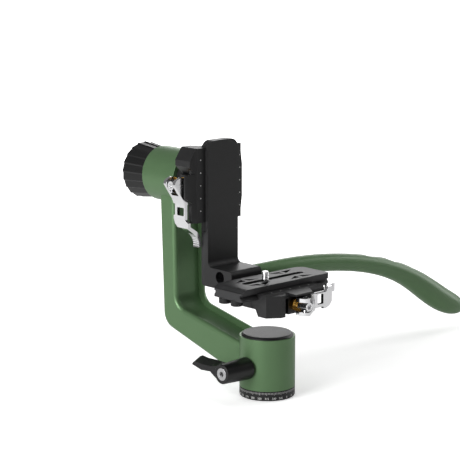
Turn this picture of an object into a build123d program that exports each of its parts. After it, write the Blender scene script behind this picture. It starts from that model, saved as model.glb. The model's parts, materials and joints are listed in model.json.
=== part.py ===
from build123d import *
from math import atan2, cos, pi, radians, sin
import os

# Gimbal tripod head, millimetres, +Z up.
# The origin is the centre of the seat that screws down on the tripod, and the
# pan axis is Z.  The arm stands on the -X side, the camera plate on the +X
# side, and the tilt axis runs along X above the base.

os.makedirs("parts", exist_ok=True)

# ---------------------------------------------------------------- clearances
fit = 0.05                    # radial clearance of a shaft or screw in its hole
gap = 0.3                     # between two bodies that pass each other
seat_gap = 0.02               # between two pieces that are pressed together

# ---------------------------------------------------------------- pan base
base_radius = 25.6
dial_height = 8.5
dial_chamfer = 0.8
tripod_thread_radius = 9.525 / 2      # 3/8"-16
tripod_thread_depth = 12.0
spindle_plug_radius = 10.0
spindle_flange_radius = 17.0
spindle_flange_thickness = 3.5
spindle_radius = 9.0
spindle_neck_radius = 7.0
dial_screw_circle = 13.5
dial_screw_radius = 1.5
dial_screw_head_radius = 2.9
dial_screw_length = 7.0
dial_screw_count = 3
base_top = 56.4
bearing_radius = 15.0
bearing_width = 7.0
bearing_race = 2.0
upper_bearing_floor = 37.0
web_bore_radius = 12.0
pan_nut_radius = 12.0
pan_nut_height = 5.0
cap_radius = 24.0
cap_rise = 2.2
cap_chamfer = 1.8
cap_plug_radius = 20.0
cap_plug_depth = 3.6
cap_disc_radius = 20.5
cap_disc_thickness = 0.8

# ---------------------------------------------------------------- pan lock
lock_height = 29.2
lock_root = 25.9
lock_root_radius = 10.4
lock_length = 31.5
lock_tip_radius = 9.0
lock_screw_radius = 3.0
lock_head_radius = 5.8
lock_head_height = 1.6
lock_wing_length = 40.5
lock_wing_thickness = 9.0
lock_wing_inset = 1.0
lock_wing_underside = 1.5
lock_wing_front_rise = 4.0
lock_wing_back_rise = 8.2
lock_wing_tip_floor = 1.4
lock_wing_flare = 9.8
lock_wing_flare_drop = 4.6
shoe_radius = 4.5
shoe_gap = 0.35
shoe_back = 16.4
shoe_bore_end = 17.2

# ---------------------------------------------------------------- arm casting
arm_half_width = 20.0
arm_edge_radius = 4.0
tilt_height = 189.0
leg_outer_top = 127.4
leg_outer_foot = 122.1
leg_inner_top = 105.9
leg_inner_foot = 103.8
elbow_outer_height = 48.4
elbow_inner_height = 68.1
elbow_outer_radius = 16.0
elbow_inner_radius = 13.0
foot_under_height = 11.0
foot_over_height = 45.3
channel_half_width = 15.4
channel_depth = 6.0
channel_clear = 6.0

# ---------------------------------------------------------------- tilt housing
housing_radius = 26.0
housing_back = -144.2
housing_front = -100.0
tilt_shaft_radius = 10.0
tilt_bearing_radius = 17.0
tilt_bearing_width = 8.0
tilt_bearing_inset = 2.0
tilt_web_radius = 13.0
flange_radius = 23.0
flange_edge = 1.0
shaft_spigot_depth = 13.0
washer_inner = 11.0
washer_outer = 21.0
washer_thickness = 1.5
knob_near_radius = 24.0
knob_far_radius = 27.3
knob_length = 25.7
knob_tooth_depth = 0.9
knob_tooth_count = 20
knob_stud_radius = 6.0
knob_recess_radius = 17.0
knob_recess_depth = 6.0
knob_screw_radius = 3.0
knob_screw_head_radius = 8.5
knob_screw_head_height = 3.0
knob_screw_length = 14.0

# ---------------------------------------------------------------- dovetail and clamps
dovetail_half = 19.05
dovetail_lip = 0.8
dovetail_flank = 3.2
dovetail_neck = 1.75
jaw_height = 5.7
dovetail_float = 0.35
clamp_length = 69.3
fixed_jaw_outer = 26.0
fixed_jaw_bulge = 1.6
bulge_flat = 15.0
bulge_end = 27.0
slab_depth = 14.2
slab_side = 10.0
boss_depth = 21.6
boss_half_length = 16.0
moving_jaw_outer = 27.5
moving_jaw_depth = 21.2
ledge_flat = 28.8
ledge_outer = 33.8
ledge_drop = 2.7
jaw_step = 13.0
jaw_step_width = 4.0
jaw_heel = 18.7
jaw_middle = 14.0
washer_wall = 31.2
washer_wall_near = -9.0
washer_wall_far = 16.0
hub_cover_reach = 43.0
hub_cover_rise = 0.4
hub_cover_drop = 0.9
hub_cover_underside = 2.6
hub_cover_haunch = 1.1
hub_cover_near = -11.0
hub_cover_far = 16.0
hub_cover_flat = 10.5
hub_pocket_side = 33.0
lever_bay_start = 17.0
lever_bay_ledge = 5.5
lever_bay_floor = 21.0
guard_root = 29.0
guard_peak = 36.8
guard_peak_start = -23.5
guard_peak_end = -18.0
guard_end = -9.0
guard_top = 1.2
rod_depth = 12.3
rod_offset = -1.5
rod_radius = 3.0
rod_eye_radius = 4.2
rod_head_radius = 4.9
rod_head_height = 3.0
rod_eye_start = 39.4
rod_eye_end = 50.5
rod_hex_radius = 2.4
rod_hex_depth = 2.0
pivot_reach = 45.3
pin_radius = 2.0
lever_low = 20.0
lever_high = 4.2
lever_slot = 9.0
lever_slot_radius = 9.8
cam_radius = 8.2
cam_throw = 1.53
cam_direction = 145.0
lobe_reach = 2.2
lobe_side = -1.4
lobe_radius = 4.8
lobe_flat = 7.2
neck_reach = 2.3
neck_turn = 52.0
arm_plate_outer = 5.3
arm_plate_inner = 8.5
arm_plate_start = 12.0
arm_plate_end = 38.5
arm_plate_step = 17.0
arm_plate_rise = 4.9
arm_plate_drop = 18.3
horn_start = 31.0
horn_run = 2.5
horn_rise = 0.6
wing_start = 27.8
wing_drop = 20.2
plate_end_drop = 14.9
lever_window_v = 23.5
lever_window_w = 10.8
lever_window_length = 7.6
lever_window_width = 9.2
tail_low = 11.7
tail_high = 3.6
tail_end = 58.5
tail_reach = 24.1
tail_thickness = 2.9
lever_rib_count = 8
lever_rib_radius = 0.55
nut_radius = 6.0
guide_pin_radius = 2.0
guide_pin_spread = 25.0
guide_pin_length = 17.0
guide_pin_seat = 7.0
guide_pin_depth = 9.0
spring_radius = 4.0
spring_wire = 0.8
spring_turns = 4
spring_pitch = 1.6
spring_pocket_radius = 5.0
upright_face = -63.0
platform_drop = 2.5
platform_centre = 4.6
flange_screw_radius = 2.5
flange_screw_head_radius = 4.25
flange_screw_head_height = 3.0
flange_screw_length = 20.0
flange_screw_u = 5.0
flange_screw_v = 12.5

# ---------------------------------------------------------------- L-bracket
bracket_thickness = 9.0
bracket_top = 229.8
bracket_corner = 9.0
bracket_groove_end = 144.7
foot_over_socket = 7.5
foot_under_socket = 11.0
foot_block_drop = 17.0
foot_block_thickness = 12.0
foot_inner_radius = 5.0
foot_nose_radius = 4.0
foot_heel_radius = 4.0
foot_screw_radius = 2.0
foot_screw_head_radius = 3.4
foot_screw_head_height = 2.6
foot_screw_length = 22.0
foot_screw_spread = 12.0
foot_screw_drop = 12.0
socket_x = -43.3
socket_height = 105.0
socket_radius = 5.5
socket_depth = 12.0
set_screw_radius = 2.0
set_screw_length = 12.0
set_screw_inset = 6.0

# ---------------------------------------------------------------- camera plate
plate_near = -50.0
plate_length = 111.4
plate_thickness = 10.9
plate_corner = 3.0
plate_far_corner = 9.0
plate_nose_drop = 3.2
plate_nose_length = 6.5
slot_near = -31.0
slot_far = 45.0
slot_width = 6.8
slot_head_width = 13.0
slot_head_depth = 5.0
window_inner = 7.2
window_outer = 14.4
window_bar = 1.8
window_pair_half = 14.5
window_pair_spread = 24.0
stop_radius = 5.5
stop_height = 5.0
stop_shank_radius = 2.0
stop_shank_length = 6.0
stop_spread = 7.7
stop_inset = 4.2
camera_screw_y = -3.0
camera_screw_radius = 6.35 / 2        # 1/4"-20
camera_screw_rise = 7.8
camera_screw_neck_radius = 2.5
camera_screw_head_radius = 5.2
camera_screw_head_height = 1.8
slider_length = 18.0
slider_thickness = 1.4

# ---------------------------------------------------------------- handle
# Stations along the grip: distance from the arm plane, drop below the socket, half height
# and half width.
handle_stations = (
    (20.0, 0.0, 6.2, 6.2),
    (45.0, 1.8, 8.0, 8.0),
    (87.0, 3.2, 8.5, 9.0),
    (129.0, 7.1, 8.6, 9.2),
    (172.0, 14.5, 8.8, 9.6),
    (202.0, 22.5, 9.3, 10.2),
    (232.0, 34.3, 10.2, 11.2),
    (256.0, 47.2, 11.6, 12.4),
    (279.0, 61.6, 12.6, 13.2),
    (299.0, 73.0, 12.2, 12.8),
    (314.0, 79.6, 10.2, 11.0),
    (322.0, 82.6, 7.0, 8.0),
)
scallop_first = 185.0
scallop_pitch = 28.5
scallop_count = 5
scallop_radius = 90.0
scallop_depth = 0.9
handle_tip_radius = 4.0


def save(piece, name):
    piece.part.label = name
    export_step(piece.part, "parts/" + name + ".step")


def ball_bearing(name, plane, inner, outer, width):
    """A shielded ball bearing: two races, their balls and the web that holds them."""
    with BuildPart() as bearing:
        with BuildSketch(plane):
            Circle(outer - seat_gap)
            Circle(inner + fit, mode=Mode.SUBTRACT)
        extrude(amount=width)
        with BuildSketch(plane):
            Circle(outer - bearing_race)
            Circle(inner + bearing_race, mode=Mode.SUBTRACT)
        extrude(amount=bearing_race / 4, mode=Mode.SUBTRACT)
        with BuildSketch(plane.offset(width)):
            Circle(outer - bearing_race)
            Circle(inner + bearing_race, mode=Mode.SUBTRACT)
        extrude(amount=-bearing_race / 4, mode=Mode.SUBTRACT)
    save(bearing, name)


# ================================================================ derived places
dial_web = dial_height - spindle_flange_thickness
arm_floor = dial_height + gap
spindle_top = upper_bearing_floor + bearing_width + gap
cap_plug_floor = base_top - cap_plug_depth
lock_tip = lock_root + lock_length
lock_plane = Plane(origin=(0, 0, lock_height), x_dir=(-1, 0, 0), z_dir=(0, -1, 0))
flange_back = housing_front + gap
flange_front = upright_face - boss_depth - seat_gap
knob_near = housing_back - washer_thickness - gap
knob_far = knob_near - knob_length
knob_recess_floor = knob_far + knob_recess_depth
plate_floor = gap - jaw_height
platform_face = socket_height - platform_drop
foot_top = socket_height + foot_over_socket
foot_heel = socket_height - foot_under_socket
foot_block_bottom = platform_face - foot_block_drop
foot_screw_height = platform_face - foot_screw_drop
bracket_back = upright_face + plate_floor
bracket_front = bracket_back + bracket_thickness
foot_nose = -(fixed_jaw_outer + fixed_jaw_bulge + seat_gap)
plate_bottom = platform_face + plate_floor
plate_top = plate_bottom + plate_thickness
plate_middle = plate_near + plate_length / 2
tilt_axis = Plane(origin=(0, 0, tilt_height), x_dir=(0, 1, 0), z_dir=(1, 0, 0))
upright_frame = Plane(origin=(upright_face, 0, tilt_height), x_dir=(0, -1, 0), z_dir=(1, 0, 0))
platform_frame = Plane(origin=(0, platform_centre, platform_face), x_dir=(1, 0, 0), z_dir=(0, 0, 1))


# ================================================================ pan base
with BuildPart() as pan_dial:
    with BuildSketch():
        Circle(base_radius)
    extrude(amount=dial_height)
    chamfer(pan_dial.edges().sort_by(Axis.Z)[0], dial_chamfer)
    with BuildSketch():
        Circle(spindle_plug_radius + fit)
    extrude(amount=dial_height, mode=Mode.SUBTRACT)
    with BuildSketch(Plane.XY.offset(dial_web)):
        Circle(spindle_flange_radius + fit)
    extrude(amount=spindle_flange_thickness, mode=Mode.SUBTRACT)
    with Locations(Plane(origin=(0, 0, 0), x_dir=(1, 0, 0), z_dir=(0, 0, -1))):
        with PolarLocations(dial_screw_circle, dial_screw_count):
            CounterSinkHole(
                radius=dial_screw_radius + fit,
                counter_sink_radius=dial_screw_head_radius + fit,
                depth=dial_height,
            )
save(pan_dial, "pan_dial")


with BuildPart() as pan_spindle:
    with BuildSketch():
        Circle(spindle_plug_radius)
    extrude(amount=dial_height)
    with BuildSketch(Plane.XY.offset(dial_web)):
        Circle(spindle_flange_radius)
    extrude(amount=spindle_flange_thickness)
    with BuildSketch(Plane.XY.offset(dial_height)):
        Circle(spindle_radius)
    extrude(amount=spindle_top - dial_height)
    with BuildSketch(Plane.XY.offset(spindle_top)):
        Circle(spindle_neck_radius)
    extrude(amount=pan_nut_height + 1)
    with BuildSketch():
        Circle(tripod_thread_radius)
    extrude(amount=tripod_thread_depth, mode=Mode.SUBTRACT)
    with BuildSketch(Plane.XY.offset(dial_web)):
        with PolarLocations(dial_screw_circle, dial_screw_count):
            Circle(dial_screw_radius + fit)
    extrude(amount=dial_screw_length - dial_web + 0.2, mode=Mode.SUBTRACT)
save(pan_spindle, "pan_spindle")

with BuildPart() as dial_screws:
    for spot in PolarLocations(dial_screw_circle, dial_screw_count):
        with BuildSketch(Plane.XY):
            with Locations(spot.position):
                Circle(dial_screw_head_radius)
        with BuildSketch(Plane.XY.offset(dial_screw_head_radius - dial_screw_radius)):
            with Locations(spot.position):
                Circle(dial_screw_radius)
        loft()
        with BuildSketch(Plane.XY):
            with Locations(spot.position):
                Circle(dial_screw_radius)
        extrude(amount=dial_screw_length)
        with BuildSketch(Plane.XY):
            with Locations(spot.position):
                RegularPolygon(dial_screw_radius * 0.7, 6)
        extrude(amount=dial_screw_radius, mode=Mode.SUBTRACT)
save(dial_screws, "dial_screws")

with BuildPart() as pan_nut:
    with BuildSketch(Plane.XY.offset(spindle_top + seat_gap)):
        RegularPolygon(pan_nut_radius, 6)
        Circle(spindle_neck_radius + fit, mode=Mode.SUBTRACT)
    extrude(amount=pan_nut_height)
save(pan_nut, "pan_nut")

ball_bearing("pan_bearing_lower", Plane.XY.offset(arm_floor), spindle_radius, bearing_radius, bearing_width)
ball_bearing("pan_bearing_upper", Plane.XY.offset(upper_bearing_floor), spindle_radius, bearing_radius, bearing_width)

with BuildPart() as top_cap:
    with BuildSketch(Plane.XY.offset(base_top + seat_gap)):
        Circle(cap_radius)
    extrude(amount=cap_rise)
    chamfer(top_cap.edges().sort_by(Axis.Z)[-1], cap_chamfer)
    with BuildSketch(Plane.XY.offset(base_top + seat_gap)):
        Circle(cap_plug_radius)
    extrude(amount=-cap_plug_depth)
    with BuildSketch(Plane.XY.offset(base_top + seat_gap + cap_rise)):
        Circle(cap_disc_radius + fit)
    extrude(amount=-cap_disc_thickness, mode=Mode.SUBTRACT)
save(top_cap, "top_cap")

with BuildPart() as cap_disc:
    with BuildSketch(Plane.XY.offset(base_top + seat_gap + cap_rise)):
        Circle(cap_disc_radius)
    extrude(amount=seat_gap - cap_disc_thickness)
save(cap_disc, "cap_disc")

# ================================================================ arm casting
with BuildPart() as arm:
    with BuildSketch(Plane.XZ):
        with BuildLine():
            outer_edge = FilletPolyline(
                (-leg_outer_top, tilt_height),
                (-leg_outer_foot, elbow_outer_height),
                (0, foot_under_height),
                radius=elbow_outer_radius,
            )
            inner_edge = FilletPolyline(
                (-leg_inner_top, tilt_height),
                (-leg_inner_foot, elbow_inner_height),
                (0, foot_over_height),
                radius=elbow_inner_radius,
            )
            Line(outer_edge @ 0, inner_edge @ 0)
            Line(outer_edge @ 1, inner_edge @ 1)
        make_face()
    extrude(amount=arm_half_width, both=True)
    fillet(arm.faces().filter_by(Axis.Y).edges(), arm_edge_radius)
    # The hollow face inside the J follows its inner edge.
    with BuildLine(Plane.XZ) as channel_path:
        FilletPolyline(
            (-leg_inner_top, tilt_height),
            (-leg_inner_foot, elbow_inner_height),
            (0, foot_over_height),
            radius=elbow_inner_radius,
        )
    channel_start = Plane(
        origin=channel_path.line @ 0,
        x_dir=(0, 1, 0),
        z_dir=channel_path.line % 0,
    )
    with BuildSketch(channel_start):
        with BuildLine():
            bed = ThreePointArc(
                (-channel_half_width, 0),
                (0, channel_depth),
                (channel_half_width, 0),
            )
            Polyline(
                bed @ 1,
                (channel_half_width, -channel_clear),
                (-channel_half_width, -channel_clear),
                bed @ 0,
            )
        make_face()
    sweep(path=channel_path.line, mode=Mode.SUBTRACT)
    # Base barrel and tilt housing.
    with BuildSketch(Plane.XY.offset(arm_floor)):
        Circle(base_radius)
    extrude(amount=base_top - arm_floor)
    with BuildSketch(tilt_axis.offset(housing_back)):
        Circle(housing_radius)
    extrude(amount=housing_front - housing_back)
    # Pan bearings, web and cap seat.
    with BuildSketch(Plane.XY.offset(arm_floor)):
        Circle(bearing_radius)
    extrude(amount=bearing_width, mode=Mode.SUBTRACT)
    with BuildSketch(Plane.XY.offset(arm_floor)):
        Circle(web_bore_radius)
    extrude(amount=base_top - arm_floor, mode=Mode.SUBTRACT)
    with BuildSketch(Plane.XY.offset(upper_bearing_floor)):
        Circle(bearing_radius)
    extrude(amount=base_top - upper_bearing_floor, mode=Mode.SUBTRACT)
    with BuildSketch(Plane.XY.offset(cap_plug_floor)):
        Circle(cap_plug_radius + fit)
    extrude(amount=cap_plug_depth, mode=Mode.SUBTRACT)
    # Brake shoe bore and the thread of the pan lock.
    with BuildSketch(lock_plane):
        Circle(shoe_radius + fit)
    extrude(amount=shoe_bore_end, mode=Mode.SUBTRACT)
    with BuildSketch(lock_plane):
        Circle(lock_screw_radius + fit)
    extrude(amount=lock_root, mode=Mode.SUBTRACT)
    # Tilt bearings and shaft bore.
    with BuildSketch(tilt_axis.offset(housing_back)):
        Circle(tilt_web_radius)
    extrude(amount=housing_front - housing_back, mode=Mode.SUBTRACT)
    with BuildSketch(tilt_axis.offset(housing_back)):
        Circle(tilt_bearing_radius)
    extrude(amount=tilt_bearing_inset + tilt_bearing_width, mode=Mode.SUBTRACT)
    with BuildSketch(tilt_axis.offset(housing_front)):
        Circle(tilt_bearing_radius)
    extrude(amount=-tilt_bearing_inset - tilt_bearing_width, mode=Mode.SUBTRACT)
save(arm, "arm")

# ================================================================ pan lock
with BuildPart() as pan_lock_handle:
    with BuildSketch(lock_plane.offset(lock_root)):
        Circle(lock_root_radius)
    with BuildSketch(lock_plane.offset(lock_tip)):
        Circle(lock_tip_radius)
    loft()
    fillet(pan_lock_handle.edges().filter_by(GeomType.CIRCLE), 0.8)
    # The wing's top slopes up towards the head's arm; its root flares into the hub.
    for inset, rise in (
        (lock_wing_inset, lock_wing_front_rise),
        (lock_wing_inset + lock_wing_thickness, lock_wing_back_rise),
    ):
        with BuildSketch(Plane(origin=(0, inset - lock_tip, lock_height), x_dir=(-1, 0, 0), z_dir=(0, 1, 0))):
            Polygon(
                (0, lock_tip_radius - 1),
                (0.38 * lock_wing_length, rise + 0.4),
                (0.68 * lock_wing_length, rise),
                (0.88 * lock_wing_length, rise + 0.9),
                (0.97 * lock_wing_length, rise - 0.6),
                (lock_wing_length, lock_wing_tip_floor),
                (0.7 * lock_wing_length, -lock_wing_underside),
                (0.4 * lock_wing_length, 0.8 - lock_wing_underside),
                (lock_wing_flare, -lock_wing_flare_drop),
                (0, 1 - lock_tip_radius),
                align=None,
            )
    loft(ruled=True)
    with BuildSketch(lock_plane.offset(lock_tip)):
        Circle(lock_head_radius + fit)
    extrude(amount=-lock_head_height, mode=Mode.SUBTRACT)
    with BuildSketch(lock_plane.offset(lock_root)):
        Circle(lock_screw_radius + fit)
    extrude(amount=lock_length, mode=Mode.SUBTRACT)
save(pan_lock_handle, "pan_lock_handle")

with BuildPart() as pan_lock_screw:
    with BuildSketch(lock_plane.offset(shoe_bore_end - 0.2)):
        Circle(lock_screw_radius)
    extrude(amount=lock_tip - shoe_bore_end)
    with BuildSketch(lock_plane.offset(lock_tip)):
        Circle(lock_head_radius)
    extrude(amount=seat_gap - lock_head_height)
    with BuildSketch(lock_plane.offset(lock_tip)):
        RegularPolygon(lock_head_radius * 0.45, 6)
    extrude(amount=-lock_head_height * 0.7, mode=Mode.SUBTRACT)
save(pan_lock_screw, "pan_lock_screw")

with BuildPart() as pan_brake_shoe:
    with BuildSketch(lock_plane.offset(spindle_radius + shoe_gap)):
        Circle(shoe_radius)
    extrude(amount=shoe_back - spindle_radius - shoe_gap)
save(pan_brake_shoe, "pan_brake_shoe")

# ================================================================ tilt axis
ball_bearing(
    "tilt_bearing_rear",
    tilt_axis.offset(housing_back + tilt_bearing_inset),
    tilt_shaft_radius,
    tilt_bearing_radius,
    tilt_bearing_width,
)
ball_bearing(
    "tilt_bearing_front",
    tilt_axis.offset(housing_front - tilt_bearing_inset - tilt_bearing_width),
    tilt_shaft_radius,
    tilt_bearing_radius,
    tilt_bearing_width,
)

with BuildPart() as tilt_shaft:
    with BuildSketch(tilt_axis.offset(knob_near + gap)):
        Circle(tilt_shaft_radius)
    extrude(amount=flange_back + shaft_spigot_depth - knob_near - gap)
    with BuildSketch(tilt_axis.offset(knob_recess_floor)):
        Circle(knob_stud_radius)
    extrude(amount=knob_near + gap - knob_recess_floor)
    with BuildSketch(tilt_axis.offset(knob_recess_floor)):
        Circle(knob_screw_radius + fit)
    extrude(amount=knob_screw_length, mode=Mode.SUBTRACT)
save(tilt_shaft, "tilt_shaft")

with BuildPart() as tilt_flange:
    with BuildSketch(tilt_axis.offset(flange_back)):
        Circle(flange_radius)
    extrude(amount=flange_front - flange_back)
    chamfer(tilt_flange.edges().group_by(Axis.X)[0], flange_edge)
    with BuildSketch(tilt_axis.offset(flange_back)):
        Circle(tilt_shaft_radius + seat_gap)
    extrude(amount=shaft_spigot_depth + seat_gap, mode=Mode.SUBTRACT)
    with BuildSketch(tilt_axis.offset(flange_front)):
        with GridLocations(2 * flange_screw_u, 2 * flange_screw_v, 2, 2):
            Circle(flange_screw_radius + fit)
    extrude(amount=-flange_screw_length, mode=Mode.SUBTRACT)
save(tilt_flange, "tilt_flange")

with BuildPart() as thrust_washer:
    with BuildSketch(tilt_axis.offset(housing_back - seat_gap)):
        Circle(washer_outer)
        Circle(washer_inner, mode=Mode.SUBTRACT)
    extrude(amount=-washer_thickness)
save(thrust_washer, "thrust_washer")


def tooth_ring(radius):
    """Corners of one saw-toothed ring of the knob."""
    corners = []
    for tooth in range(knob_tooth_count):
        start = 2 * pi * tooth / knob_tooth_count
        crest = start + 1.7 * pi / knob_tooth_count
        corners.append(((radius - knob_tooth_depth) * cos(start), (radius - knob_tooth_depth) * sin(start)))
        corners.append((radius * cos(crest), radius * sin(crest)))
    return corners


with BuildPart() as tilt_knob:
    with BuildSketch(tilt_axis.offset(knob_near)):
        Polygon(*tooth_ring(knob_near_radius), align=None)
    with BuildSketch(tilt_axis.offset(knob_far)):
        Polygon(*tooth_ring(knob_far_radius), align=None)
    loft(ruled=True)
    with BuildSketch(tilt_axis.offset(knob_far)):
        Circle(knob_recess_radius)
    extrude(amount=knob_recess_depth, mode=Mode.SUBTRACT)
    with BuildSketch(tilt_axis.offset(knob_far)):
        Circle(knob_stud_radius + fit)
    extrude(amount=knob_length, mode=Mode.SUBTRACT)
save(tilt_knob, "tilt_knob")

with BuildPart() as knob_screw:
    with BuildSketch(tilt_axis.offset(knob_recess_floor - gap)):
        Circle(knob_screw_head_radius)
    extrude(amount=-knob_screw_head_height)
    with BuildSketch(tilt_axis.offset(knob_recess_floor - gap)):
        Circle(knob_screw_radius)
    extrude(amount=knob_screw_length)
    with BuildSketch(tilt_axis.offset(knob_recess_floor - gap - knob_screw_head_height)):
        RegularPolygon(knob_screw_radius, 6)
    extrude(amount=knob_screw_head_height * 0.7, mode=Mode.SUBTRACT)
save(knob_screw, "knob_screw")


# ================================================================ lever clamps
def side_planes(frame):
    """The clamp's cross-section plane and the plane of its side face."""
    across = Plane(origin=frame.origin, x_dir=frame.x_dir, z_dir=-frame.y_dir)
    along = Plane(origin=frame.origin, x_dir=frame.y_dir, z_dir=frame.x_dir)
    return across, along


def lever_clamp(frame, name):
    """One dovetail clamp with its moving jaw and quick-release lever.

    In the frame x runs across the clamp towards the lever, y along the
    dovetail towards the lever's tail and z out of the jaws.
    """
    across, along = side_planes(frame)
    lip = dovetail_half + dovetail_float
    throat = lip - dovetail_flank
    flank_foot = plate_floor + dovetail_lip
    flank_head = flank_foot + dovetail_flank
    rod_line = along.offset(0)
    rod_spot = (rod_offset, -rod_depth)

    with BuildPart() as body:
        with BuildSketch(across):
            Polygon(
                (-fixed_jaw_outer, 0),
                (-throat, 0),
                (-throat, flank_head),
                (-lip, flank_foot),
                (-lip, -jaw_height),
                (slab_side, -jaw_height),
                (slab_side, -slab_depth),
                (-fixed_jaw_outer, -slab_depth),
                align=None,
            )
        extrude(amount=clamp_length / 2, both=True)
        with BuildSketch(frame):
            Polygon(
                (-fixed_jaw_outer, -bulge_end),
                (-fixed_jaw_outer - fixed_jaw_bulge, -bulge_flat),
                (-fixed_jaw_outer - fixed_jaw_bulge, bulge_flat),
                (-fixed_jaw_outer, bulge_end),
                align=None,
            )
        extrude(amount=-slab_depth)
        with BuildSketch(frame.offset(-slab_depth)):
            Polygon(
                (-fixed_jaw_outer, -boss_half_length),
                (slab_side, -boss_half_length),
                (slab_side, boss_half_length),
                (-fixed_jaw_outer, boss_half_length),
                align=None,
            )
        extrude(amount=slab_depth - boss_depth)
        with BuildSketch(rod_line.offset(-fixed_jaw_outer - fixed_jaw_bulge)):
            with Locations(rod_spot):
                Circle(rod_radius + fit)
        extrude(amount=fixed_jaw_outer + fixed_jaw_bulge + slab_side, mode=Mode.SUBTRACT)
        with BuildSketch(rod_line.offset(-fixed_jaw_outer - fixed_jaw_bulge)):
            with Locations(rod_spot):
                Circle(rod_head_radius + fit)
        extrude(amount=rod_head_height + fit, mode=Mode.SUBTRACT)
        with BuildSketch(rod_line.offset(slab_side)):
            with Locations(rod_spot):
                Circle(spring_pocket_radius)
        extrude(amount=-spring_turns * spring_pitch - spring_wire, mode=Mode.SUBTRACT)
        with BuildSketch(rod_line.offset(slab_side)):
            with Locations((-guide_pin_spread, -guide_pin_depth), (guide_pin_spread, -guide_pin_depth)):
                Circle(guide_pin_radius + seat_gap)
        extrude(amount=-guide_pin_seat - gap, mode=Mode.SUBTRACT)
        if frame is upright_frame:
            with BuildSketch(frame.offset(-jaw_height)):
                with GridLocations(2 * flange_screw_u, 2 * flange_screw_v, 2, 2):
                    Circle(flange_screw_head_radius + fit)
            extrude(amount=-flange_screw_head_height - gap, mode=Mode.SUBTRACT)
            with BuildSketch(frame.offset(-jaw_height)):
                with GridLocations(2 * flange_screw_u, 2 * flange_screw_v, 2, 2):
                    Circle(flange_screw_radius + fit)
            extrude(amount=jaw_height - boss_depth, mode=Mode.SUBTRACT)
        else:
            with BuildSketch(rod_line.offset(-fixed_jaw_outer - fixed_jaw_bulge)):
                with Locations((-foot_screw_spread, foot_screw_height - platform_face),
                               (foot_screw_spread, foot_screw_height - platform_face)):
                    Circle(foot_screw_radius + fit)
            extrude(amount=foot_screw_length - foot_block_thickness + gap, mode=Mode.SUBTRACT)
    save(body, name + "_clamp_body")

    with BuildPart() as jaw:
        with BuildSketch(across):
            Polygon(
                (throat, 0),
                (ledge_flat, 0),
                (ledge_outer, -ledge_drop),
                (ledge_outer, -lever_bay_ledge),
                (moving_jaw_outer, -lever_bay_ledge),
                (moving_jaw_outer, -moving_jaw_depth),
                (slab_side + gap, -moving_jaw_depth),
                (slab_side + gap, -jaw_height),
                (lip, -jaw_height),
                (lip, flank_foot),
                (throat, flank_head),
                align=None,
            )
        extrude(amount=clamp_length / 2, both=True)
        # Both ends are cut away underneath.
        with BuildSketch(across):
            Polygon(
                (slab_side, -jaw_step),
                (slab_side + gap + jaw_step_width, -jaw_step),
                (jaw_heel, -moving_jaw_depth),
                (jaw_heel, -moving_jaw_depth - 1),
                (slab_side, -moving_jaw_depth - 1),
                align=None,
            )
        extrude(amount=clamp_length / 2, both=True, mode=Mode.SUBTRACT)
        with BuildSketch(across):
            Polygon(
                (slab_side + gap, -jaw_step + 1),
                (moving_jaw_outer, -jaw_step + 1),
                (moving_jaw_outer, -moving_jaw_depth),
                (slab_side + gap, -moving_jaw_depth),
                align=None,
            )
        extrude(amount=jaw_middle, both=True)
        # The near end tapers into the guard block.
        with BuildSketch(frame):
            Polygon(
                (guard_root, -clamp_length / 2),
                (guard_peak, guard_peak_start),
                (guard_peak, -clamp_length / 2),
                align=None,
            )
        extrude(amount=-lever_bay_ledge, mode=Mode.SUBTRACT)
        with BuildSketch(frame.offset(-guard_top)):
            Polygon(
                (lip, -clamp_length / 2),
                (guard_root, -clamp_length / 2),
                (guard_peak, guard_peak_start),
                (guard_peak, guard_peak_end),
                (moving_jaw_outer, guard_end),
                (lip, guard_end),
                align=None,
            )
        extrude(amount=guard_top - moving_jaw_depth)
        # Wall that the cam washer bears on.
        with BuildSketch(frame.offset(-lever_bay_ledge)):
            Polygon(
                (lip, washer_wall_near),
                (washer_wall, washer_wall_near),
                (washer_wall, washer_wall_far),
                (lip, washer_wall_far),
                align=None,
            )
        extrude(amount=lever_bay_ledge - moving_jaw_depth)
        # Cover over the lever's hub.
        with BuildSketch(across.offset(-hub_cover_near)):
            Polygon(
                (ledge_flat, -hub_cover_rise),
                (hub_cover_reach, -hub_cover_drop),
                (hub_cover_reach, -hub_cover_underside),
                (ledge_outer, -hub_cover_underside - hub_cover_haunch),
                (ledge_flat, -hub_cover_underside - hub_cover_haunch),
                align=None,
            )
        extrude(amount=hub_cover_near - hub_cover_far)
        with BuildSketch(frame):
            Polygon(
                (hub_cover_reach + 1, hub_cover_flat - 1),
                (hub_cover_reach + 1, hub_cover_far + 1),
                (ledge_outer, hub_cover_far + 1),
                (ledge_outer, hub_cover_far),
                align=None,
            )
        extrude(amount=-lever_high, mode=Mode.SUBTRACT)
        with BuildSketch(frame.offset(gap - lever_high)):
            Polygon(
                (hub_pocket_side, hub_cover_near),
                (hub_cover_reach + 1, hub_cover_near),
                (hub_cover_reach + 1, lever_bay_start),
                (hub_pocket_side, lever_bay_start),
                align=None,
            )
        extrude(amount=lever_high - gap - lever_bay_ledge, mode=Mode.SUBTRACT)
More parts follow.
